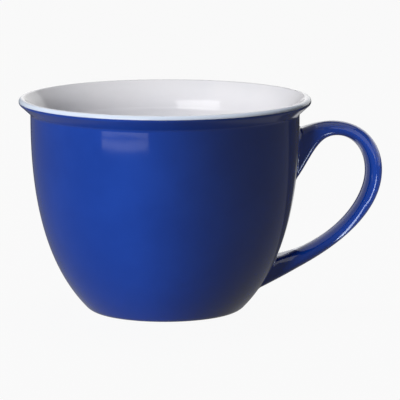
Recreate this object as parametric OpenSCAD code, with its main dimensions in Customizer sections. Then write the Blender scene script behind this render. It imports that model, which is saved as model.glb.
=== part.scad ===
// Wide soup mug of glazed ceramic: a clay bowl with a flared lip and a foot ring, a clay strap handle
// fixed to it with two layers of slip, and the coats of glaze that cover them.
// The origin is on the bowl's axis in the plane that the foot stands on. The handle points along +X.

/* [Bowl] */
// Widest diameter, across the flared lip, over the glaze
rim_d = 120; // [104:0.5:136]
// Height from the table to the crest of the lip, over the glaze
mug_h = 88; // [80:0.5:100]
// Height of the straight neck between the lip's fillet and the belly
neck_len = 2.5; // [1:0.1:8]
// How far the wall keeps the neck's direction as it runs down into the belly
belly_pull = 29.5; // [20:0.5:40]
// How far the wall keeps the heel's slope as it runs up into the belly
heel_pull = 25; // [15:0.5:30]
// Slope of the heel, in degrees from the table
heel_angle = 46.5; // [42:0.5:56]
// Thickness of the clay wall
wall_t = 3.8; // [3:0.1:5]
// Thickness of the clay floor over the hollow underside
floor_t = 4.5; // [3.5:0.1:6]
// Diameter of the flat part of the floor inside
floor_flat_d = 30; // [20:1:40]

/* [Lip] */
// How far the lip reaches out past the straight neck under it
lip_overhang = 4.75; // [3.5:0.25:7]
// Radius of the lip's rounded nose in the clay
lip_r = 1.2; // [0.9:0.05:1.5]
// Rise of the flare, in degrees from the table
flare_angle = 42; // [35:1:50]
// Radius of the fillet between the lip's underside and the neck
lip_fillet_r = 2; // [1:0.1:3]
// Radius of the bend inside, where the wall turns out into the lip
lip_bend_r = 14; // [5:0.5:15]

/* [Foot] */
// How far the ring that stands on the table lies in from the lip's widest circle
foot_inset = 31.5; // [28:0.25:35]
// Width of that ring
foot_ring_w = 3; // [2:0.1:5]
// Radius of the rounding between the ring and the heel
foot_round_r = 6; // [4:0.5:8]
// Depth of the hollow underside
recess_h = 2; // [1.5:0.1:3]

/* [Handle] */
// Clear width for the fingers, from the neck to the strap
finger_gap = 27; // [22:0.5:32]
// Distance from the lip's crest down to the top of the strap
handle_drop = 9.9; // [8:0.1:16]
// Distance from the neck out to the highest point of the strap
crown_out = 13.4; // [10:0.1:17]
// How much further out the strap's inner edge has its highest point
crown_lead = 2; // [0:0.1:4]
// Height of the strap's furthest point above the table
side_h = 57.6; // [50:0.1:62]
// Thickness of the strap at its crown, over the glaze
crown_t = 5.9; // [4.5:0.1:8]
// Thickness of the strap at its furthest point, over the glaze
side_t = 7.1; // [5:0.1:9]
// Width of the strap, over the glaze
strap_w = 12.5; // [9:0.1:16]
// Radius of the fillet around each root, where the strap meets the wall
root_fillet_r = 1.2; // [0.6:0.1:4]
// How much the strap widens on either side into the upper root
upper_root_spread = 0.3; // [0:0.1:5]
// How much the strap widens on either side into the lower root
lower_root_spread = 3; // [0:0.1:5]
// Distance from the wall over which it widens
root_reach = 10; // [6:0.5:14]
// Distance from the lip's crest down to the upper root's top edge, at the wall
upper_root_drop = 13; // [11:0.1:18]
// Distance from the lip's crest down to the end of the upper root's tail
tail_drop = 34.7; // [28:0.1:40]
// Height above the table of the lower root's bottom edge, at the wall
lower_root_h = 9.2; // [8:0.1:14]
// Height above the table of the lower root's top edge, at the wall
lower_root_top_h = 21.6; // [19:0.1:26]

/* [Coats] */
// Thickness of the glaze
glaze_t = 0.35; // [0.2:0.05:0.6]
// Thickness of the slip under the handle's roots
slip_t = 0.6; // [0.3:0.05:1]
// Where the glaze stops on the foot's rounding, in degrees up from the table
glaze_stop_angle = 24; // [22:1:35]

/* [Hidden] */
$fn = 96;

// Number of straight steps in a wall curve, a small arc, and each span of the strap
wall_steps = 26;
arc_steps = 5;
span_steps = 14;
// Number of points around a section of the strap
section_steps = 20;
// Power of the strap's section, along the strap and at its roots: 2 is an ellipse, more is boxier
section_power = 2;
root_power = 4.3;

glaze_blue = [0.13, 0.26, 0.62];
glaze_white = [0.93, 0.93, 0.93];
bare_clay = [0.88, 0.84, 0.77];
wet_slip = [0.80, 0.76, 0.70];

// Curves in the plane of a profile, as [radius, height] points

function bezier(p, t) =
    pow(1 - t, 3) * p[0] + 3 * t * pow(1 - t, 2) * p[1] + 3 * t * t * (1 - t) * p[2] + pow(t, 3) * p[3];
function curve(p, steps) = [for (i = [0:steps]) bezier(p, i / steps)];
function along(angle) = [cos(angle), sin(angle)];
function arc(centre, radius, from, to, steps) =
    [for (i = [0:steps]) centre + radius * along(from + (to - from) * i / steps)];
function unit(v) = v / norm(v);
function reversed(line) = [for (i = [len(line) - 1:-1:0]) line[i]];
function without_last(line) = [for (i = [0:len(line) - 2]) line[i]];

// The line moved sideways by d, to the left of its direction
function beside(line, d) = [
    for (i = [0:len(line) - 1])
        let (step = unit(line[min(i + 1, len(line) - 1)] - line[max(i - 1, 0)]))
            line[i] + d * [-step[1], step[0]]
];

// Lip: a round nose on a flare, which meets the neck in a fillet outside and a bend inside

nose = [rim_d / 2 - glaze_t - lip_r, mug_h - glaze_t - lip_r];
neck_out = rim_d / 2 - lip_overhang;
neck_r = neck_out - glaze_t;
flare_down = -along(flare_angle);
turn = 90 - flare_angle;

// A point on the nose, and the height at which its tangent down the flare meets a given radius
function nose_point(angle) = nose + lip_r * along(angle);
function flare_meets(start, radius) = start[1] + flare_down[1] * (radius - start[0]) / flare_down[0];
function flare_bend(start, radius, bend_r) =
    arc([radius + bend_r, flare_meets(start, radius) - bend_r * tan(turn / 2)], bend_r,
        90 + flare_angle, 180, arc_steps);

lip_under = concat(
    arc(nose, lip_r, 0, -turn, arc_steps),
    flare_bend(nose_point(-turn), neck_r, lip_fillet_r)
);
lip_inside = concat(
    arc(nose, lip_r, 0, 90 + flare_angle, 2 * arc_steps),
    flare_bend(nose_point(90 + flare_angle), neck_r - wall_t, lip_bend_r)
);

// Wall: straight neck, belly curve, heel slope and the rounding into the foot ring

belly_top = lip_under[len(lip_under) - 1][1] - neck_len;
foot_r = rim_d / 2 - foot_inset;
heel_corner = [foot_r + foot_round_r * tan(heel_angle / 2), 0];
heel = heel_corner + foot_round_r * tan(heel_angle / 2) * along(heel_angle);
belly_control = [
    [neck_r, belly_top], [neck_r, belly_top - belly_pull], heel + heel_pull * along(heel_angle), heel
];
belly = curve(belly_control, wall_steps);
function foot_round(to) =
    arc([foot_r, foot_round_r], foot_round_r, heel_angle - 90, to - 90, arc_steps);

// Inside: the belly moved in by the wall's thickness, then a sweep into the flat floor

floor_h = recess_h + floor_t;
floor_start = round(0.8 * wall_steps);
belly_inside = beside([for (i = [0:floor_start]) belly[i]], -wall_t);
sweep_start = belly_inside[floor_start];
sweep_dir = unit(sweep_start - belly_inside[floor_start - 1]);
sweep_corner = sweep_start + sweep_dir * (floor_h - sweep_start[1]) / sweep_dir[1];
floor_edge = [floor_flat_d / 2, floor_h];
// Share of the way to the corner at which the sweep's control points lie
sweep_share = 0.6;
floor_sweep = curve([
    sweep_start, sweep_start + sweep_share * (sweep_corner - sweep_start),
    floor_edge + sweep_share * (sweep_corner - floor_edge), floor_edge
], 2 * arc_steps);

outside_line = concat(lip_under, belly);
inside_line = concat(
    lip_inside, without_last(belly_inside), floor_sweep, [[0, floor_h]]
);
recess_line = concat(
    arc([foot_r - foot_ring_w - recess_h, 0], recess_h, 0, 90, arc_steps), [[0, recess_h]]
);
// The stretch of the hollow that the glaze covers, clear of the ring
recess_glazed = concat(
    arc([foot_r - foot_ring_w - recess_h, 0], recess_h, glaze_stop_angle, 90, arc_steps), [[0, recess_h]]
);
outside_glazed = concat(outside_line, [for (i = [1:arc_steps]) foot_round(glaze_stop_angle)[i]]);

// A revolved layer between a line and the same line moved sideways
module layer(line, thickness) {
    rotate_extrude() polygon(concat(line, reversed(beside(line, thickness))));
}

// The wall's neck and belly as one filled solid, grown outward by a thickness
module filled_wall(thickness) {
    line = beside(concat([[neck_r, belly_top + neck_len]], belly), thickness);
    top = line[0][1];
    low = line[len(line) - 1][1];
    rotate_extrude() polygon(concat([[0, top]], line, [[0, low]]));
}

// Strap: sections that reach from an inner edge to an outer edge, both drawn in the plane of the handle

wall_heights = [for (p = reversed(belly)) [p[1], p[0]]];
function wall_radius(height) = lookup(height, wall_heights);
// How far in from the wall's surface the strap's ends start, before they are cut to it
root_sink = 0.68 * wall_t;
// Where an edge of the strap starts, so that it leaves the wall at this height with this rise
function root_point(height, rise) =
    [wall_radius(height), height] - root_sink / cos(rise) * along(rise);

crown = [neck_out + crown_out, mug_h - handle_drop];
side = [neck_out + finger_gap + side_t, side_h];
inner_crown = crown + [crown_lead, -crown_t];
inner_side = side - [side_t, 0];

// Directions of the edges at the roots, in degrees from the table
upper_rise = 15;
tail_rise = 47;
lower_rise = 22.5;
lower_top_rise = 14;
upper_top = root_point(mug_h - upper_root_drop, upper_rise);
upper_tail = root_point(mug_h - tail_drop, tail_rise);
lower_low = root_point(lower_root_h, lower_rise);
lower_top = root_point(lower_root_top_h, lower_top_rise);

// Each edge is three spans: root to crown, crown to furthest point, furthest point to lower root.
// Every span's control points lie at a share of its width and height.
function edge(start, start_rise, top, far, finish, finish_rise, shares) = [
    [start, start + shares[0] * norm(top - start) * along(start_rise),
        top - [shares[1] * (top[0] - start[0]), 0], top],
    [top, top + [shares[2] * (far[0] - top[0]), 0],
        far + [0, shares[3] * (top[1] - far[1])], far],
    [far, far - [0, shares[4] * (far[1] - finish[1])],
        finish + shares[5] * (far[0] - finish[0]) * along(finish_rise), finish]
];
outer_edge = edge(upper_top, upper_rise, crown, side, lower_low, lower_rise,
    [0.36, 0.35, 0.65, 0.54, 0.34, 0.74]);
inner_edge = edge(upper_tail, tail_rise, inner_crown, inner_side, lower_top, lower_top_rise,
    [0.425, 0.475, 0.58, 0.56, 0.325, 0.715]);

// Place of each ring along the spans. The rings lie closer together towards the roots.
spans = 3;
rings = spans * span_steps;
crowding = 0.5;
function place(ring) = spans * (ring / rings - crowding * sin(360 * ring / rings) / (2 * PI));
function edge_point(edge_spans, ring) =
    let (span = min(floor(place(ring)), spans - 1))
        bezier(edge_spans[span], place(ring) - span);
// How far a round fillet lifts the strap's surface at a distance from the wall
function fillet_lift(gap) =
    let (left = root_fillet_r - max(0, min(gap, root_fillet_r)))
        root_fillet_r - sqrt(root_fillet_r * root_fillet_r - left * left);
// How near a section is to its root: 1 at the wall, 0 past the reach
function root_share(middle) =
    max(0, min(1, 1 - (middle[0] - wall_radius(middle[1])) / root_reach));
function signed_power(value, power) = sign(value) * pow(abs(value), power);

// One section of the strap, shrunk on all sides by an inset. Its points are kept as a thickness t along
// the line from the inner edge to the outer edge and a width w along Y, and the fillet lifts each of them.
function section(ring, inset) =
    let (
        out = edge_point(outer_edge, ring),
        in = edge_point(inner_edge, ring),
        middle = (out + in) / 2,
        across = unit(out - in),
        near = root_share(middle),
        power = section_power + (root_power - section_power) * near,
        half_t = norm(out - in) / 2 - inset,
        spread = ring < rings / 2 ? upper_root_spread : lower_root_spread,
        half_w = strap_w / 2 + spread * near * near - inset
    )
    [
        for (k = [0:section_steps - 1])
            let (
                turned = 360 * k / section_steps,
                t = half_t * signed_power(cos(turned), 2 / power),
                w = half_w * signed_power(sin(turned), 2 / power),
                bare = middle + t * across,
                gap = norm([bare[0], w]) - wall_radius(bare[1]) - glaze_t,
                lift = fillet_lift(gap) * unit([half_w * cos(turned), half_t * sin(turned)]),
                lifted = bare + lift[0] * across
            )
            [lifted[0], w + lift[1], lifted[1]]
    ];

function ring_faces(first, count, flip) = [
    for (r = [0:count - 1], k = [0:section_steps - 1], half = [0, 1])
        let (
            a = first + r * section_steps + k,
            b = first + r * section_steps + (k + 1) % section_steps,
            c = b + section_steps,
            d = a + section_steps,
            face = half == 0 ? [a, b, c] : [a, c, d]
        )
        flip ? reversed(face) : face
];

// The solid strap between two rings, inset from its glazed surface
module strap(inset, from = 0, to = rings) {
    count = to - from;
    last = count * section_steps;
    polyhedron(
        points = [for (r = [from:to]) each section(r, inset)],
        faces = concat(
            ring_faces(0, count, false),
            [[for (k = [section_steps - 1:-1:0]) k]],
            [[for (k = [0:section_steps - 1]) last + k]]
        )
    );
}

// The strap's coat as a tube: its outer skin, its inner skin and the two end rings
module strap_coat(thickness) {
    inner = (rings + 1) * section_steps;
    ends = [0, rings * section_steps];
    polyhedron(
        points = concat(
            [for (r = [0:rings]) each section(r, 0)],
            [for (r = [0:rings]) each section(r, thickness)]
        ),
        faces = concat(
            ring_faces(0, rings, false),
            ring_faces(inner, rings, true),
            [
                for (e = [0, 1], k = [0:section_steps - 1], half = [0, 1])
                    let (
                        a = ends[e] + k,
                        b = ends[e] + (k + 1) % section_steps,
                        face = half == 0 ? [a, b, b + inner] : [a, b + inner, a + inner]
                    )
                    e == 0 ? reversed(face) : face
            ]
        )
    );
}

// Rings that surely lie past each root's slip
upper_end = span_steps;
lower_end = rings - span_steps;

module bowl() {
    color(bare_clay) rotate_extrude() polygon(concat(
        outside_line,
        [for (i = [1:arc_steps]) foot_round(0)[i]],
        recess_line,
        reversed([for (i = [1:len(inside_line) - 1]) inside_line[i]])
    ));
}

module handle() {
    color(bare_clay) difference() {
        strap(glaze_t);
        filled_wall(slip_t);
    }
}

module upper_slip_joint() {
    color(wet_slip) difference() {
        intersection() {
            strap(glaze_t, 0, upper_end);
            filled_wall(slip_t);
        }
        filled_wall(0);
    }
}

module lower_slip_joint() {
    color(wet_slip) difference() {
        intersection() {
            strap(glaze_t, lower_end, rings);
            filled_wall(slip_t);
        }
        filled_wall(0);
    }
}

module inner_glaze() {
    color(glaze_white) layer(inside_line, -glaze_t);
}

module outer_glaze() {
    color(glaze_blue) difference() {
        layer(outside_glazed, glaze_t);
        strap(glaze_t);
    }
}

module handle_glaze() {
    color(glaze_blue) difference() {
        strap_coat(glaze_t);
        filled_wall(glaze_t);
    }
}

module underside_glaze() {
    color(glaze_white) layer(recess_glazed, glaze_t);
}

bowl();
handle();
upper_slip_joint();
lower_slip_joint();
inner_glaze();
outer_glaze();
handle_glaze();
underside_glaze();
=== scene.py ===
import bpy
import numpy as np
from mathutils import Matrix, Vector


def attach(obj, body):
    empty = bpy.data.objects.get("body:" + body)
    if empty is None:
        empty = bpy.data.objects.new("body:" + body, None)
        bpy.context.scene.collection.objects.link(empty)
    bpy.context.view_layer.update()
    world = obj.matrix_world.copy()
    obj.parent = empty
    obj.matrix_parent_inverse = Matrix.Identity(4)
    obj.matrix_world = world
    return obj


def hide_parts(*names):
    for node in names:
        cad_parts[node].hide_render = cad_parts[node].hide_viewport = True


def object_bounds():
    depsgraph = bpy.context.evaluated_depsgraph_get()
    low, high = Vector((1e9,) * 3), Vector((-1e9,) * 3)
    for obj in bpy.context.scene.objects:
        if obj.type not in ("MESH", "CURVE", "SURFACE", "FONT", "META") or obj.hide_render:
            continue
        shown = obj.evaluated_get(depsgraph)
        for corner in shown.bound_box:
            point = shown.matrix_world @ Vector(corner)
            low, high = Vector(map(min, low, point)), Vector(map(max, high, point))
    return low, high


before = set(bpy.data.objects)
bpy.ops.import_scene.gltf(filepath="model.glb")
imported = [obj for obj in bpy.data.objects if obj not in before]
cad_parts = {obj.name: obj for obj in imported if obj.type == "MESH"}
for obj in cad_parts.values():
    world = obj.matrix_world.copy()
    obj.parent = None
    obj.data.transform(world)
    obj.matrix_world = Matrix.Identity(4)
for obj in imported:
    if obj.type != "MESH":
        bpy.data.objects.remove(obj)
cad_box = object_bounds()

# Sizes of the mug in millimetres and degrees: the overall ones from the frame, the others as in the part
MM = 0.001
RIM_D = 2 * cad_box[1][1] / MM
MUG_H = cad_box[1][2] / MM
LENGTH = cad_box[1][0] / MM

# Bowl
NECK_LEN = 2.5
BELLY_PULL = 29.5
HEEL_PULL = 25.0
HEEL_ANGLE = 46.5
WALL_T = 3.8
FLOOR_T = 4.5
FLOOR_FLAT_D = 30.0
# Share of the belly's curve after which the inside leaves it for the floor, and how far the sweep's
# control points lie on the way to its corner
SWEEP_START = 21 / 26
SWEEP_SHARE = 0.6

# Lip
LIP_OVERHANG = 4.75
LIP_R = 1.2
FLARE_ANGLE = 42.0
LIP_FILLET_R = 2.0
LIP_BEND_R = 14.0

# Foot
FOOT_INSET = 31.5
FOOT_RING_W = 3.0
FOOT_ROUND_R = 6.0
RECESS_H = 2.0

# Handle
HANDLE_DROP = 9.9
CROWN_OUT = 13.4
CROWN_LEAD = 2.0
SIDE_H = 57.6
CROWN_T = 5.9
SIDE_T = 7.1
STRAP_W = 12.5
# Powers of the section's superellipse along the strap and at its roots
SECTION_POWER = 2.0
ROOT_POWER = 4.3
ROOT_FILLET_R = 1.2
UPPER_ROOT_SPREAD = 0.3
LOWER_ROOT_SPREAD = 3.0
ROOT_REACH = 10.0
ROOT_SINK = 0.68 * WALL_T
UPPER_ROOT_DROP = 13.0
TAIL_DROP = 34.7
LOWER_ROOT_H = 9.2
LOWER_ROOT_TOP_H = 21.6
UPPER_RISE = 15.0
TAIL_RISE = 47.0
LOWER_RISE = 22.5
LOWER_TOP_RISE = 14.0
# How far the control points of an edge's three spans lie along them, two for each span
OUTER_SHARES = [0.36, 0.35, 0.65, 0.54, 0.34, 0.74]
INNER_SHARES = [0.425, 0.475, 0.58, 0.56, 0.325, 0.715]

# Coats and slip
GLAZE_T = 0.35
SLIP_T = 0.6
GLAZE_STOP_ANGLE = 24.0
# How deep the edge of the handle's coat lies in the bowl's, so that no gap shows
COAT_LAP = 0.03
# Innermost and outermost ring of a slip pad, as shares of the root's outline
SLIP_CORE = 0.1
SLIP_EDGE = 0.95

# Fineness of the surfaces
TURN_STEPS = 224
WALL_STEPS = 64
ARC_STEPS = 12
BARE_ROWS = 900
STRAP_ROWS = 190
STRAP_POINTS = 96
FILLET_ROWS = 10
SLIP_RINGS = 12
CREASE_ANGLE = 40.0
# Distance below which two points are one, and step over which the wall's slope is taken
SAME_PLACE = 1e-6
SLOPE_STEP = 0.1


# Curves in the plane of a profile, as rows of (radius, height)

def along(angle):
    """Unit vector at an angle in degrees from the table."""
    return np.array([np.cos(np.radians(angle)), np.sin(np.radians(angle))])


def bezier(control, t):
    """Cubic curve: the control points weighted by (1-t)^3, 3t(1-t)^2, 3t^2(1-t) and t^3."""
    t = np.asarray(t)[:, None]
    a, b, c, d = (np.asarray(p, float) for p in control)
    return (1 - t) ** 3 * a + 3 * t * (1 - t) ** 2 * b + 3 * t ** 2 * (1 - t) * c + t ** 3 * d


def arc(centre, radius, start, end, steps=ARC_STEPS):
    """Circular arc: centre plus radius times the unit vector at angles from start to end."""
    turned = np.radians(np.linspace(start, end, steps + 1))
    return np.asarray(centre) + radius * np.stack([np.cos(turned), np.sin(turned)], -1)


def joined(*lines):
    """The lines end to end, without the points that repeat the one before."""
    line = np.concatenate([np.atleast_2d(part) for part in lines])
    moved = np.linalg.norm(np.diff(line, axis=0), axis=1) > SAME_PLACE
    return line[np.concatenate([[True], moved])]


def beside(line, distance):
    """The line moved sideways, to the left of its direction."""
    step = np.gradient(line, axis=0)
    step /= np.linalg.norm(step, axis=1, keepdims=True)
    return line + distance * np.stack([-step[:, 1], step[:, 0]], -1)


# Lip: a round nose on a flare, which meets the neck in a fillet outside and a bend inside

nose = np.array([RIM_D / 2 - GLAZE_T - LIP_R, MUG_H - GLAZE_T - LIP_R])
neck_out = RIM_D / 2 - LIP_OVERHANG
neck_r = neck_out - GLAZE_T
turn = 90 - FLARE_ANGLE


def flare_bend(start_angle, radius, bend_r):
    """Arc that leads from the flare, tangent to the nose at an angle, into the wall at a radius."""
    start = nose + LIP_R * along(start_angle)
    meets = start[1] + np.tan(np.radians(FLARE_ANGLE)) * (radius - start[0])
    centre = [radius + bend_r, meets - bend_r * np.tan(np.radians(turn / 2))]
    return arc(centre, bend_r, 90 + FLARE_ANGLE, 180)


lip_under = joined(arc(nose, LIP_R, 0, -turn), flare_bend(-turn, neck_r, LIP_FILLET_R))
lip_inside = joined(
    arc(nose, LIP_R, 0, 90 + FLARE_ANGLE, 2 * ARC_STEPS),
    flare_bend(90 + FLARE_ANGLE, neck_r - WALL_T, LIP_BEND_R),
)

# Wall: straight neck, belly curve, heel slope and the rounding into the foot ring

belly_top = lip_under[-1, 1] - NECK_LEN
foot_r = RIM_D / 2 - FOOT_INSET
heel_tangent = FOOT_ROUND_R * np.tan(np.radians(HEEL_ANGLE / 2))
heel = np.array([foot_r + heel_tangent, 0]) + heel_tangent * along(HEEL_ANGLE)
belly = bezier(
    [[neck_r, belly_top], [neck_r, belly_top - BELLY_PULL], heel + HEEL_PULL * along(HEEL_ANGLE), heel],
    np.linspace(0, 1, WALL_STEPS + 1),
)


def foot_round(end):
    """Rounding of the foot, from the heel's slope down to an angle above the table."""
    return arc([foot_r, FOOT_ROUND_R], FOOT_ROUND_R, HEEL_ANGLE - 90, end - 90)


def recess(start):
    """Line of the hollow underside, from an angle on its rounded side to the axis."""
    side = arc([foot_r - FOOT_RING_W - RECESS_H, 0], RECESS_H, start, 90)
    return joined(side, [[0, RECESS_H]])


# Inside: the belly moved in by the wall's thickness, then a sweep into the flat floor

floor_h = RECESS_H + FLOOR_T
belly_inside = beside(belly, -WALL_T)[: round(SWEEP_START * WALL_STEPS) + 1]
sweep_dir = belly_inside[-1] - belly_inside[-2]
sweep_corner = belly_inside[-1] + sweep_dir * (floor_h - belly_inside[-1, 1]) / sweep_dir[1]
floor_edge = np.array([FLOOR_FLAT_D / 2, floor_h])
floor_sweep = bezier(
    [belly_inside[-1], belly_inside[-1] + SWEEP_SHARE * (sweep_corner - belly_inside[-1]),
     floor_edge + SWEEP_SHARE * (sweep_corner - floor_edge), floor_edge],
    np.linspace(0, 1, 2 * ARC_STEPS + 1),
)

outside_line = joined(lip_under, belly)
inside_line = joined(lip_inside, belly_inside, floor_sweep, [[0, floor_h]])
outside_glazed = joined(outside_line, foot_round(GLAZE_STOP_ANGLE))
bowl_loop = joined(outside_line, foot_round(0), recess(0), inside_line[::-1])[:-1]


def layer_loop(line, thickness):
    """Closed loop between a line and the same line moved sideways. Points on the axis stay on it."""
    moved = beside(line, thickness)
    moved[np.abs(line[:, 0]) < SAME_PLACE, 0] = 0
    return joined(line, moved[::-1])


# Solids from grids of points

def grid_faces(rows, columns, close_rows):
    """Quads of a grid whose columns wrap round, and whose rows do too where close_rows is set."""
    row = np.arange(rows if close_rows else rows - 1)[:, None]
    column = np.arange(columns)[None, :]
    next_row = (row + 1) % rows
    next_column = (column + 1) % columns
    corners = [row * columns + column, row * columns + next_column,
               next_row * columns + next_column, next_row * columns + column]
    return np.stack([np.broadcast_to(c, (len(row), columns)) for c in corners], -1).reshape(-1, 4)


def solid(name, points, faces, poles=()):
    """Mesh object from points in millimetres, quads, and fans of triangles (pole, ring of points).
    All faces are turned over together if the volume they enclose comes out negative."""
    fans = [np.stack([np.full(len(ring), pole), ring, np.roll(ring, -1)], -1) for pole, ring in poles]
    triangles = np.concatenate([faces[:, [0, 1, 2]], faces[:, [0, 2, 3]], *fans])
    a, b, c = (points[triangles[:, i]] for i in range(3))
    if np.einsum("ij,ij->", a, np.cross(b, c)) < 0:
        faces = faces[:, ::-1]
        fans = [fan[:, ::-1] for fan in fans]
    mesh = bpy.data.meshes.new(name)
    fan_faces = [face for fan in fans for face in fan.tolist()]
    mesh.from_pydata((points * MM).tolist(), [], faces.tolist() + fan_faces)
    mesh.shade_smooth()
    mesh.set_sharp_from_angle(angle=np.radians(CREASE_ANGLE))
    mesh.validate()
    piece = bpy.data.objects.new(name, mesh)
    bpy.context.scene.collection.objects.link(piece)
    return piece


def lathe(name, loop):
    """Closed loop turned about the axis: the point (radius, height) at angle a lies at
    (radius cos a, radius sin a, height). Two neighbours in the loop on the axis become poles."""
    on_axis = np.abs(loop[:, 0]) < SAME_PLACE
    turned = np.linspace(0, 2 * np.pi, TURN_STEPS, endpoint=False)
    if on_axis.any():
        first = np.flatnonzero(on_axis & ~np.roll(on_axis, 1))[0]
        loop = np.roll(loop, -first, axis=0)
        ends = loop[:2]
        loop = loop[2:]
    ring = loop[:, None, :1] * np.stack([np.cos(turned), np.sin(turned)], -1)
    height = np.broadcast_to(loop[:, None, 1:], (len(loop), TURN_STEPS, 1))
    points = np.concatenate([ring, height], -1).reshape(-1, 3)
    faces = grid_faces(len(loop), TURN_STEPS, not on_axis.any())
    if not on_axis.any():
        return solid(name, points, faces)
    top = np.arange(TURN_STEPS)
    poles = [(len(points), top + (len(loop) - 1) * TURN_STEPS), (len(points) + 1, top[::-1])]
    return solid(name, np.concatenate([points, np.insert(ends, 1, 0, axis=1)]), faces, poles)


# Strap: sections that reach from an inner edge to an outer edge, both drawn in the plane of the handle

SPANS = 3
glazed_wall = beside(joined([[neck_r, belly_top + NECK_LEN]], belly, foot_round(0)), GLAZE_T)


def wall_radius(height):
    """Radius of the glazed wall at a height."""
    return np.interp(height, glazed_wall[::-1, 1], glazed_wall[::-1, 0])


def root_point(height, rise):
    """Start of an edge of the strap inside the wall, so that it leaves the clay at a height and rise."""
    radius = np.interp(height, belly[::-1, 1], belly[::-1, 0])
    return np.array([radius, height]) - ROOT_SINK / np.cos(np.radians(rise)) * along(rise)


def edge(start, start_rise, top, far, finish, finish_rise, shares, place):
    """Three cubic spans: root to crown, crown to furthest point, furthest point to lower root."""
    spans = [
        [start, start + shares[0] * np.linalg.norm(top - start) * along(start_rise),
         top - [shares[1] * (top[0] - start[0]), 0], top],
        [top, top + [shares[2] * (far[0] - top[0]), 0],
         far + [0, shares[3] * (top[1] - far[1])], far],
        [far, far - [0, shares[4] * (far[1] - finish[1])],
         finish + shares[5] * (far[0] - finish[0]) * along(finish_rise), finish],
    ]
    which = np.minimum(place.astype(int), SPANS - 1)[:, None]
    points = [bezier(span, place - i) for i, span in enumerate(spans)]
    return np.where(which == 0, points[0], np.where(which == 1, points[1], points[2]))


def bare_strap(rows):
    """Strap without fillets. A section is a superellipse |t/a|^n + |w/b|^n = 1, with t along the line
    from the inner edge to the outer edge and w along Y. Towards a root it is wider and boxier."""
    place = np.linspace(0, SPANS, rows)
    crown = np.array([neck_out + CROWN_OUT, MUG_H - HANDLE_DROP])
    side = np.array([LENGTH, SIDE_H])
    inner_crown = crown + [CROWN_LEAD, -CROWN_T]
    inner_side = side - [SIDE_T, 0]
    upper_top = root_point(MUG_H - UPPER_ROOT_DROP, UPPER_RISE)
    upper_tail = root_point(MUG_H - TAIL_DROP, TAIL_RISE)
    lower_low = root_point(LOWER_ROOT_H, LOWER_RISE)
    lower_top = root_point(LOWER_ROOT_TOP_H, LOWER_TOP_RISE)
    outer = edge(upper_top, UPPER_RISE, crown, side, lower_low, LOWER_RISE, OUTER_SHARES, place)
    inner = edge(upper_tail, TAIL_RISE, inner_crown, inner_side, lower_top, LOWER_TOP_RISE,
                 INNER_SHARES, place)
    middle = (outer + inner) / 2
    near = np.clip(1 - (middle[:, 0] - wall_radius(middle[:, 1])) / ROOT_REACH, 0, 1)[:, None]
    power = 2 / (SECTION_POWER + (ROOT_POWER - SECTION_POWER) * near)
    turned = np.linspace(0, 2 * np.pi, STRAP_POINTS, endpoint=False)
    round_t = np.sign(np.cos(turned)) * np.abs(np.cos(turned)) ** power
    round_w = np.sign(np.sin(turned)) * np.abs(np.sin(turned)) ** power
    flat = middle[:, None] + round_t[..., None] * (outer - inner)[:, None] / 2
    spread = np.where(place < SPANS / 2, UPPER_ROOT_SPREAD, LOWER_ROOT_SPREAD)[:, None]
    width = (STRAP_W / 2 + spread * near ** 2) * round_w
    return np.stack([flat[..., 0], width, flat[..., 1]], -1)


def at_row(grid, row):
    """Points of each column of a grid at fractional rows."""
    low = np.clip(np.floor(row).astype(int), 0, len(grid) - 2)
    share = (row - low)[..., None]
    column = np.arange(grid.shape[1])
    return (1 - share) * grid[low, column] + share * grid[low + 1, column]


def root_fillet(grid):
    """Where each line along the strap leaves the wall, a fillet: a parabola from the point one radius
    up the line, towards the crossing, to the point one radius away from the root on the wall.
    Gives the fillet's rows, from the wall up, the row where each line goes on, and the outline of the
    root on the wall."""
    clear = np.hypot(grid[..., 0], grid[..., 1]) - wall_radius(grid[..., 2])
    column = np.arange(grid.shape[1])
    first = np.argmax(clear > 0, axis=0)
    below, above = clear[first - 1, column], clear[first, column]
    cross_row = first - above / (above - below)
    crossing = at_row(grid, cross_row)
    run = np.cumsum(np.linalg.norm(np.diff(grid, axis=0, prepend=grid[:1]), axis=2), axis=0)
    before, after = run[first - 1, column], run[first, column]
    start = before + (cross_row - first + 1) * (after - before)
    leave_row = np.argmax(run - start > ROOT_FILLET_R, axis=0).astype(float)
    leave = at_row(grid, leave_row)
    out = np.stack([crossing[:, 0], crossing[:, 1]], -1)
    out /= np.linalg.norm(out, axis=1, keepdims=True)
    rise = wall_radius(crossing[:, 2] + SLOPE_STEP) - wall_radius(crossing[:, 2] - SLOPE_STEP)
    normal = np.concatenate([out, -rise[:, None] / (2 * SLOPE_STEP)], -1)
    away = np.cross(np.roll(crossing, -1, 0) - np.roll(crossing, 1, 0), normal)
    away /= np.linalg.norm(away, axis=1, keepdims=True)
    away *= np.sign(np.einsum("ij,ij->i", away, crossing - crossing.mean(0)))[:, None]
    landing = crossing + ROOT_FILLET_R * away
    sunk = wall_radius(landing[:, 2]) - COAT_LAP
    landing[:, :2] *= (sunk / np.hypot(landing[:, 0], landing[:, 1]))[:, None]
    t = np.linspace(0, 1, FILLET_ROWS + 1)[:-1, None, None]
    fillet = (1 - t) ** 2 * landing + 2 * t * (1 - t) * crossing + t ** 2 * leave
    return fillet, leave_row, crossing


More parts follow.
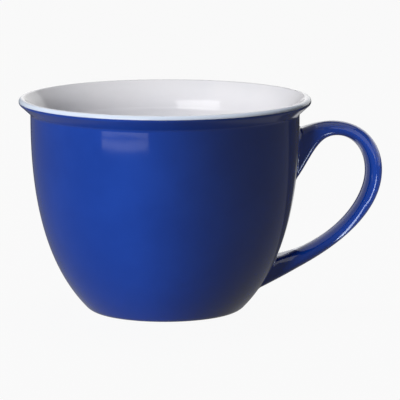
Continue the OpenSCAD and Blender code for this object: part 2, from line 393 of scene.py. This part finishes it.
bare_grid = bare_strap(BARE_ROWS)
upper_fillet, upper_row, upper_root = root_fillet(bare_grid)
lower_fillet, lower_row, lower_root = root_fillet(bare_grid[::-1])
strap_share = np.linspace(0, 1, STRAP_ROWS)[:, None]
strap_body = at_row(bare_grid, upper_row + strap_share * (len(bare_grid) - 1 - lower_row - upper_row))
strap_skin = np.concatenate([upper_fillet, strap_body, lower_fillet[::-1]])
strap_round = np.roll(strap_skin, -1, 1) - np.roll(strap_skin, 1, 1)
strap_normal = np.cross(np.gradient(strap_skin, axis=0), strap_round)
strap_normal /= np.linalg.norm(strap_normal, axis=2, keepdims=True)


def strap_coat(name):
    """Coat of the strap: its glazed surface with a fillet at each root, and the same surface moved in
    by the glaze's thickness, joined at both ends."""
    loop = np.concatenate([strap_skin, (strap_skin - GLAZE_T * strap_normal)[::-1]])
    return solid(name, loop.reshape(-1, 3), grid_faces(len(loop), STRAP_POINTS, True))


def strap_core(name):
    """Clay of the strap: the glazed surface moved in by the glaze's thickness, closed at the middle of
    each fillet by a fan of triangles."""
    rows = (strap_skin - GLAZE_T * strap_normal)[FILLET_ROWS // 2:-(FILLET_ROWS // 2)]
    points = np.concatenate([rows.reshape(-1, 3), rows[:1].mean(1), rows[-1:].mean(1)])
    ring = np.arange(STRAP_POINTS)
    count = rows.shape[0] * STRAP_POINTS
    poles = [(count, ring[::-1]), (count + 1, ring + count - STRAP_POINTS)]
    return solid(name, points, grid_faces(len(rows), STRAP_POINTS, False), poles)


def slip_pad(name, root):
    """Slip under a root: the outline where the strap meets the wall, drawn in a little and filled with
    rings towards its middle, lying on the clay wall and again at the slip's thickness above it."""
    outward = np.linspace(SLIP_CORE, SLIP_EDGE, SLIP_RINGS)
    share = np.concatenate([outward, outward[::-1]])[:, None, None]
    flat = root.mean(0) + share * (root - root.mean(0))
    radius = wall_radius(flat[..., 2]) - GLAZE_T
    radius[SLIP_RINGS:] += SLIP_T
    flat[..., :2] *= (radius / np.hypot(flat[..., 0], flat[..., 1]))[..., None]
    points = np.concatenate([flat.reshape(-1, 3), flat[:1].mean(1), flat[-1:].mean(1)])
    ring = np.arange(STRAP_POINTS)
    count = flat.shape[0] * STRAP_POINTS
    poles = [(count, ring[::-1]), (count + 1, ring + count - STRAP_POINTS)]
    return solid(name, points, grid_faces(len(flat), STRAP_POINTS, False), poles)


# Materials

def group(name, sockets):
    """New node group with sockets given as (name, IN or OUT, type, value)."""
    tree = bpy.data.node_groups.new(name, "ShaderNodeTree")
    for label, way, kind, value in sockets:
        socket = tree.interface.new_socket(label, in_out=way, socket_type="NodeSocket" + kind)
        if value is not None:
            socket.default_value = value
    return tree, tree.nodes.new("NodeGroupInput"), tree.nodes.new("NodeGroupOutput")


def add(tree, kind, settings=None, **inputs):
    """New node with settings and inputs. An input is a value or the socket that feeds it, under the
    socket's name or, as in v3, its number."""
    made = tree.nodes.new("ShaderNode" + kind)
    for key, value in (settings or {}).items():
        setattr(made, key, value)
    for key, value in inputs.items():
        socket = made.inputs[int(key[1:])] if key[1:].isdigit() else made.inputs[key.replace("_", " ")]
        if isinstance(value, bpy.types.NodeSocket):
            tree.links.new(value, socket)
        else:
            socket.default_value = value
    return made


def between(tree, share, first, second):
    """Colour on the way from a first to a second one, by a share."""
    return add(tree, "Mix", {"data_type": "RGBA"}, v0=share, v6=first, v7=second).outputs[2]


def fired_glaze_group():
    """Fired glaze: colour that drifts between a thin and a thick coat, fine specks, gloss that varies
    slightly, and the height of a faint orange-peel surface."""
    tree, ins, outs = group("fired glaze", [
        ("Thin Colour", "INPUT", "Color", None),
        ("Thick Colour", "INPUT", "Color", None),
        ("Speck Colour", "INPUT", "Color", None),
        ("Speck Share", "INPUT", "Float", 0.1),
        ("Gloss", "INPUT", "Float", 0.1),
        ("Colour", "OUTPUT", "Color", None),
        ("Roughness", "OUTPUT", "Float", None),
        ("Height", "OUTPUT", "Float", None),
    ])
    place = add(tree, "TexCoord").outputs["Object"]
    drift = add(tree, "TexNoise", Vector=place, Scale=38.0, Detail=3.0, Roughness=0.55).outputs["Fac"]
    drift = add(tree, "MapRange", Value=drift, From_Min=0.35, From_Max=0.65).outputs[0]
    base = between(tree, drift, ins.outputs["Thin Colour"], ins.outputs["Thick Colour"])
    speck = add(tree, "TexNoise", Vector=place, Scale=1500.0, Detail=2.0).outputs["Fac"]
    speck = add(tree, "MapRange", Value=speck, From_Min=0.62, From_Max=0.72).outputs[0]
    speck = add(tree, "Math", {"operation": "MULTIPLY"}, v0=speck, v1=ins.outputs["Speck Share"]).outputs[0]
    mixed = between(tree, speck, base, ins.outputs["Speck Colour"])
    smear = add(tree, "TexNoise", Vector=place, Scale=90.0, Detail=2.0).outputs["Fac"]
    smear = add(tree, "MapRange", Value=smear, From_Min=0.3, From_Max=0.7,
                To_Min=0.85, To_Max=1.2).outputs[0]
    rough = add(tree, "Math", {"operation": "MULTIPLY"}, v0=smear, v1=ins.outputs["Gloss"]).outputs[0]
    peel = add(tree, "TexNoise", Vector=place, Scale=260.0, Detail=1.0).outputs["Fac"]
    tree.links.new(mixed, outs.inputs["Colour"])
    tree.links.new(rough, outs.inputs["Roughness"])
    tree.links.new(peel, outs.inputs["Height"])
    return tree


def fired_clay_group():
    """Bare fired clay: a grainy colour with darker grains, a rough finish, and the height of its grain."""
    tree, ins, outs = group("fired clay", [
        ("Body Colour", "INPUT", "Color", None),
        ("Grain Colour", "INPUT", "Color", None),
        ("Colour", "OUTPUT", "Color", None),
        ("Roughness", "OUTPUT", "Float", None),
        ("Height", "OUTPUT", "Float", None),
    ])
    place = add(tree, "TexCoord").outputs["Object"]
    grain = add(tree, "TexNoise", Vector=place, Scale=1800.0, Detail=4.0).outputs["Fac"]
    mask = add(tree, "MapRange", Value=grain, From_Min=0.45, From_Max=0.75).outputs[0]
    mixed = between(tree, mask, ins.outputs["Body Colour"], ins.outputs["Grain Colour"])
    rough = add(tree, "MapRange", Value=grain, To_Min=0.7, To_Max=0.95).outputs[0]
    tree.links.new(mixed, outs.inputs["Colour"])
    tree.links.new(rough, outs.inputs["Roughness"])
    tree.links.new(grain, outs.inputs["Height"])
    return tree


def colour(red, green, blue):
    """Linear colour from display values of 0 to 255."""
    shown = np.array([red, green, blue]) / 255
    linear = np.where(shown <= 0.04045, shown / 12.92, ((shown + 0.055) / 1.055) ** 2.4)
    return (*linear, 1.0)


def grouped(tree, shader_group, values):
    """A shader group's node in a material, with its values set."""
    made = tree.nodes.new("ShaderNodeGroup")
    made.node_tree = shader_group
    for key, value in values.items():
        made.inputs[key].default_value = value
    return made


def finish_material(name, shader_group, values, bump, depth):
    """Material whose colour, gloss and surface come from a shared group."""
    material = bpy.data.materials.new(name)
    material.use_nodes = True
    tree = material.node_tree
    surface = tree.nodes["Principled BSDF"]
    source = grouped(tree, shader_group, values)
    relief = add(tree, "Bump", Height=source.outputs["Height"], Strength=bump, Distance=depth)
    tree.links.new(source.outputs["Colour"], surface.inputs["Base Color"])
    tree.links.new(source.outputs["Roughness"], surface.inputs["Roughness"])
    tree.links.new(relief.outputs["Normal"], surface.inputs["Normal"])
    surface.inputs["IOR"].default_value = 1.5
    return material


def edge_tint(material, tint, start, end):
    """Tints a material's colour towards the outside of the lip, between two distances from the axis."""
    tree = material.node_tree
    surface = tree.nodes["Principled BSDF"]
    source = surface.inputs["Base Color"].links[0].from_socket
    place = add(tree, "TexCoord").outputs["Object"]
    flat = add(tree, "VectorMath", {"operation": "MULTIPLY"}, v0=place, v1=(1, 1, 0)).outputs[0]
    reach = add(tree, "VectorMath", {"operation": "LENGTH"}, v0=flat).outputs["Value"]
    mask = add(tree, "MapRange", Value=reach, From_Min=start * MM, From_Max=end * MM).outputs[0]
    tree.links.new(between(tree, mask, source, tint), surface.inputs["Base Color"])


# Strength and depth of the faint peel on a glaze, and how far inside the rim the white one's blue tinge
# starts and is full
PEEL = {"bump": 0.03, "depth": 0.3 * MM}
TINGE_START = 1.6
TINGE_FULL = 0.5

fired_glaze = fired_glaze_group()
fired_clay = fired_clay_group()
blue_glaze = finish_material("blue glaze", fired_glaze, {
    "Thin Colour": colour(14, 62, 160), "Thick Colour": colour(8, 57, 152),
    "Speck Colour": colour(8, 40, 112), "Speck Share": 0.08, "Gloss": 0.09,
}, **PEEL)
white_glaze = finish_material("white glaze", fired_glaze, {
    "Thin Colour": colour(229, 228, 232), "Thick Colour": colour(224, 224, 229),
    "Speck Colour": colour(214, 210, 202), "Speck Share": 0.1, "Gloss": 0.05,
}, **PEEL)
edge_tint(white_glaze, colour(212, 223, 240), RIM_D / 2 - TINGE_START, RIM_D / 2 - TINGE_FULL)
bare_clay = finish_material("bare clay", fired_clay, {
    "Body Colour": colour(224, 214, 196), "Grain Colour": colour(196, 182, 158),
}, bump=0.3, depth=0.3 * MM)
slip = finish_material("slip", fired_clay, {
    "Body Colour": colour(205, 194, 178), "Grain Colour": colour(182, 168, 148),
}, bump=0.2, depth=0.3 * MM)

# Pieces

pieces = [
    (lathe("bowl_clay", bowl_loop), "bowl", "bare_clay", bare_clay),
    (lathe("inner_white_coat", layer_loop(inside_line, -GLAZE_T)),
     "inner_glaze", "white_glaze", white_glaze),
    (lathe("outer_blue_coat", layer_loop(outside_glazed, GLAZE_T)),
     "outer_glaze", "blue_glaze", blue_glaze),
    (lathe("underside_white_coat", layer_loop(recess(GLAZE_STOP_ANGLE), GLAZE_T)),
     "underside_glaze", "white_glaze", white_glaze),
    (strap_coat("handle_blue_coat"), "handle_glaze", "blue_glaze", blue_glaze),
    (strap_core("handle_clay"), "handle", "bare_clay", bare_clay),
    (slip_pad("upper_slip", upper_root), "upper_slip_joint", "slip", slip),
    (slip_pad("lower_slip", lower_root), "lower_slip_joint", "slip", slip),
]
for piece, node, slot, material in pieces:
    piece.data.materials.append(material)
    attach(piece, "root")
    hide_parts(node)
    # The bowl doesn't mirror the handle and its joints
    piece.visible_glossy = node in ("bowl", "inner_glaze", "outer_glaze", "underside_glaze")


# Studio, in metres and watts: a pale floor in a white room, with lights for the bowl and for the handle

FLOOR_SIZE = 6.0
FLOOR_CLEARANCE = 0.05 * MM
MIDDLE = Vector((0.0, 0.0, 0.05))
HANDLE_MIDDLE = Vector((0.085, 0.0, 0.05))
WHITE = (1.0, 1.0, 1.0)
PALE_BLUE = (0.74, 0.85, 1.0)

bpy.ops.mesh.primitive_plane_add(size=FLOOR_SIZE)
floor = bpy.context.object
floor.name = "floor"
floor.location.z = -FLOOR_CLEARANCE


def aim(thing, target):
    """Turns a camera or light towards a point."""
    thing.rotation_euler = (Vector(target) - thing.location).to_track_quat("-Z", "Y").to_euler()


def around(azimuth, elevation, distance, centre=MIDDLE):
    """Point at a distance from a centre. Azimuth 0 is in front, along -Y, and positive to the right."""
    a, e = np.radians(azimuth), np.radians(elevation)
    return centre + distance * Vector((np.sin(a) * np.cos(e), -np.cos(a) * np.cos(e), np.sin(e)))


def hung(light, place, target, reaches, mirrored, lit):
    """Object that holds a light at a place and faces a target. It reaches only the named pieces, or all
    where none is named, but everything casts its shadow. Mirrored and lit say whether it shows in a
    piece's gloss and in its colour."""
    holder = bpy.data.objects.new(light.name, light)
    holder.location = place
    aim(holder, target)
    holder.visible_glossy = mirrored
    holder.visible_diffuse = lit
    bpy.context.scene.collection.objects.link(holder)
    if reaches:
        receivers = bpy.data.collections.new(light.name + " receivers")
        for name in reaches:
            receivers.objects.link(bpy.data.objects[name])
        holder.light_linking.receiver_collection = receivers
    return holder


def soft_light(name, azimuth, elevation, distance, size, power, centre=MIDDLE, reaches=(),
               mirrored=True, lit=True, shape="RECTANGLE", tint=WHITE, turned=0.0):
    """Flat light of a width and height that faces a centre, turned about the line to it."""
    light = bpy.data.lights.new(name, "AREA")
    light.shape = shape
    light.size, light.size_y = size
    light.energy = power
    light.color = tint
    place = around(azimuth, elevation, distance, centre)
    holder = hung(light, place, centre, reaches, mirrored, lit)
    holder.rotation_euler.rotate_axis("Z", np.radians(turned))


def beam(name, azimuth, elevation, distance, aside, cone, blend, radius, power, reaches):
    """Spot light with a soft edge that isn't mirrored. It points past the mug's middle, to the right as
    seen from the light or, where aside is negative, to the left."""
    light = bpy.data.lights.new(name, "SPOT")
    light.energy = power
    light.shadow_soft_size = radius
    light.spot_size = np.radians(cone)
    light.spot_blend = blend
    a = np.radians(azimuth)
    target = MIDDLE + aside * Vector((np.cos(a), np.sin(a), 0.0))
    hung(light, around(azimuth, elevation, distance), target, reaches, mirrored=False, lit=True)


def handle_card(name, azimuth, elevation, distance, size, power, centre=HANDLE_MIDDLE, **finish):
    """Card that only the handle mirrors."""
    soft_light(name, azimuth, elevation, distance, size, power, centre,
               reaches=["handle_blue_coat"], lit=False, **finish)


# The key's soft edge runs down the front of the mug, so that its right side lies in shade
beam("key", azimuth=-30, elevation=10, distance=1.5, aside=-0.157, cone=16.0, blend=0.26,
     radius=0.02, power=82.0, reaches=["outer_blue_coat"])
soft_light("back key", azimuth=180, elevation=18, distance=1.5, size=(0.4, 0.4), power=9.0,
           reaches=["outer_blue_coat", "handle_blue_coat"], mirrored=False)
soft_light("inside key", azimuth=-40, elevation=35, distance=1.2, size=(0.4, 0.4), power=14.0,
           reaches=["inner_white_coat"], mirrored=False)
soft_light("top softbox", azimuth=180, elevation=80, distance=1.0, size=(0.5, 0.5), power=1.5,
           mirrored=False)
soft_light("bright card", azimuth=-33, elevation=18, distance=1.0, size=(0.75, 0.6), power=5.0,
           reaches=["outer_blue_coat", "inner_white_coat"], lit=False)
soft_light("low strip", azimuth=-33, elevation=-8.6, distance=0.42, size=(0.3, 0.017), power=0.024,
           centre=Vector((0.0, -0.02, 0.074)), lit=False)

# The handle has its own key, from the left so that the bowl's shadow falls on its roots, a narrow beam on
# its far side, two strips for the bright line along it, and cards for the paler bands
soft_light("handle key", azimuth=-34, elevation=10, distance=1.5, size=(0.2, 0.2), power=8.0,
           centre=HANDLE_MIDDLE, reaches=["handle_blue_coat"], mirrored=False)
beam("handle beam", azimuth=40, elevation=3, distance=1.0, aside=0.147, cone=12.0, blend=0.3,
     radius=0.01, power=24.0, reaches=["handle_blue_coat"])
handle_card("table strip", azimuth=62, elevation=-80, distance=0.1, size=(0.045, 0.11), power=0.15,
            centre=Vector((0.1726, -0.058, 0.110)), tint=PALE_BLUE)
handle_card("near strip", azimuth=57, elevation=-40, distance=0.010, size=(0.007, 0.028), power=0.006,
            centre=Vector((0.0764, -0.006, 0.0368)), tint=PALE_BLUE, turned=20)
handle_card("front card", azimuth=45, elevation=40, distance=1.0, size=(1.4, 1.4), power=6.8)
handle_card("side card", azimuth=115, elevation=8, distance=1.0, size=(1.0, 0.6), power=1.3)
handle_card("small card", azimuth=57, elevation=5, distance=0.6, size=(0.1, 0.12), power=0.09)
handle_card("top card", azimuth=180, elevation=68, distance=1.0, size=(1.0, 1.0), power=1.6)
handle_card("gap card", azimuth=-90, elevation=20, distance=0.03, size=(0.044, 0.042), power=0.0036,
            centre=Vector((0.0878, 0.0115, 0.0339)), shape="ELLIPSE")
handle_card("neck card", azimuth=-90, elevation=23, distance=0.01, size=(0.020, 0.0118), power=0.00037,
            centre=Vector((0.0675, -0.001, 0.0773)))

# Room: angle of its white middle, to the right of straight behind, and how bright the glaze mirrors it in
# front; light that it sends to surfaces; and how white the camera sees the floor
WHITE_TURN = 15.0
FRONT_LEVEL = 0.30
ROOM_LIGHT = 0.09
FLOOR_WHITE = 0.94


def room_group():
    """Brightness of the studio as the glaze mirrors it, by direction: dim in front, with a level of its own
    at the side and another towards the back, and white behind the mug, a little to the right."""
    tree, ins, outs = group("studio room", [
        ("Direction", "INPUT", "Vector", None),
        ("Side Level", "INPUT", "Float", 0.15),
        ("Back Level", "INPUT", "Float", 0.15),
        ("White From", "INPUT", "Float", 0.9),
        ("White To", "INPUT", "Float", 1.0),
        ("White Level", "INPUT", "Float", 1.1),
        ("Brightness", "OUTPUT", "Float", None),
    ])
    behind = Vector((np.sin(np.radians(WHITE_TURN)), np.cos(np.radians(WHITE_TURN)), 0.0))
    facing = add(tree, "VectorMath", {"operation": "DOT_PRODUCT"}, v0=ins.outputs["Direction"],
                 v1=behind).outputs["Value"]
    side = add(tree, "MapRange", Value=facing, From_Min=-0.2, From_Max=0.7,
               To_Min=FRONT_LEVEL, To_Max=ins.outputs["Side Level"]).outputs[0]
    back = add(tree, "MapRange", {"interpolation_type": "SMOOTHSTEP"}, Value=facing,
               From_Min=0.77, From_Max=0.80, To_Min=side, To_Max=ins.outputs["Back Level"]).outputs[0]
    white = add(tree, "MapRange", {"interpolation_type": "SMOOTHSTEP"}, Value=facing,
                From_Min=ins.outputs["White From"], From_Max=ins.outputs["White To"],
                To_Min=back, To_Max=ins.outputs["White Level"]).outputs[0]
    tree.links.new(white, outs.inputs["Brightness"])
    return tree


def white_room(room):
    """World: white to the camera, the room's brightness to the gloss and a dim even light to the rest."""
    world = bpy.data.worlds.new("studio")
    world.use_nodes = True
    tree = world.node_tree
    tree.nodes.clear()
    ray = add(tree, "LightPath")
    mirrored = grouped(tree, room, {"White From": 0.88, "White To": 0.93})
    tree.links.new(add(tree, "TexCoord").outputs["Generated"], mirrored.inputs["Direction"])
    unseen = add(tree, "Mix", {"data_type": "FLOAT"}, v0=ray.outputs["Is Glossy Ray"], v2=ROOM_LIGHT,
                 v3=mirrored.outputs["Brightness"]).outputs[0]
    shown = add(tree, "Mix", {"data_type": "FLOAT"}, v0=ray.outputs["Is Camera Ray"], v2=unseen,
                v3=1.0).outputs[0]
    light = add(tree, "Background", Color=shown, Strength=1.0).outputs[0]
    tree.links.new(light, add(tree, "OutputWorld").inputs["Surface"])
    return world


def pale_paper(room):
    """Floor: pale paper with a faint fibre, which takes the mug's shadow. The camera sees it nearly white,
    and the glaze's gloss sees it glow with the room's brightness instead: a painted reflection, less white
    further from the mug."""
    material = bpy.data.materials.new("pale paper")
    material.use_nodes = True
    tree = material.node_tree
    sheet = tree.nodes["Principled BSDF"]
    place = add(tree, "TexCoord").outputs["Object"]
    fibre = add(tree, "TexNoise", Vector=place, Scale=900.0, Detail=3.0).outputs["Fac"]
    pale = add(tree, "MapRange", Value=fibre, To_Min=0.80, To_Max=0.86).outputs[0]
    tree.links.new(pale, sheet.inputs["Base Color"])
    sheet.inputs["Roughness"].default_value = 0.9
    ray = add(tree, "LightPath")
    glow = add(tree, "Emission", Color=(*WHITE, 1.0), Strength=1.0).outputs[0]
    shown = add(tree, "Math", {"operation": "MULTIPLY"}, v0=ray.outputs["Is Camera Ray"],
                v1=FLOOR_WHITE).outputs[0]
    seen = add(tree, "MixShader", v0=shown, v1=sheet.outputs[0], v2=glow).outputs[0]
    mirrored = grouped(tree, room, {
        "Side Level": 0.20, "Back Level": 0.08, "White From": 0.955, "White To": 0.99,
    })
    toward = add(tree, "VectorMath", {"operation": "NORMALIZE"}, v0=place).outputs[0]
    tree.links.new(toward, mirrored.inputs["Direction"])
    # Painted reflection: the floor's glow in the gloss is whiter near the mug and dim further out
    reach = add(tree, "VectorMath", {"operation": "LENGTH"}, v0=place).outputs["Value"]
    level = add(tree, "MapRange", Value=reach, From_Min=0.25, From_Max=0.42,
                To_Min=0.75, To_Max=0.06).outputs[0]
    tree.links.new(level, mirrored.inputs["White Level"])
    dim = add(tree, "Emission", Color=mirrored.outputs["Brightness"], Strength=1.0).outputs[0]
    both = add(tree, "MixShader", v0=ray.outputs["Is Glossy Ray"], v1=seen, v2=dim).outputs[0]
    tree.links.new(both, tree.nodes["Material Output"].inputs["Surface"])
    return material


studio_room = room_group()
bpy.context.scene.world = white_room(studio_room)
floor.data.materials.append(pale_paper(studio_room))

# Camera: a long lens that looks down a little at the middle of the mug with its handle

CAMERA_TARGET = Vector((0.01435, 0.0, 0.04507))
CAMERA_ELEVATION = 9.4
CAMERA_DISTANCE = 1.2
LENS_MM = 261.7
SENSOR_MM = 36.0

camera_data = bpy.data.cameras.new("camera")
camera_data.lens = LENS_MM
camera_data.sensor_width = SENSOR_MM
camera = bpy.data.objects.new("camera", camera_data)
camera.location = around(0, CAMERA_ELEVATION, CAMERA_DISTANCE, CAMERA_TARGET)
aim(camera, CAMERA_TARGET)
bpy.context.scene.collection.objects.link(camera)
bpy.context.scene.camera = camera
bpy.context.scene.view_settings.view_transform = "Standard"
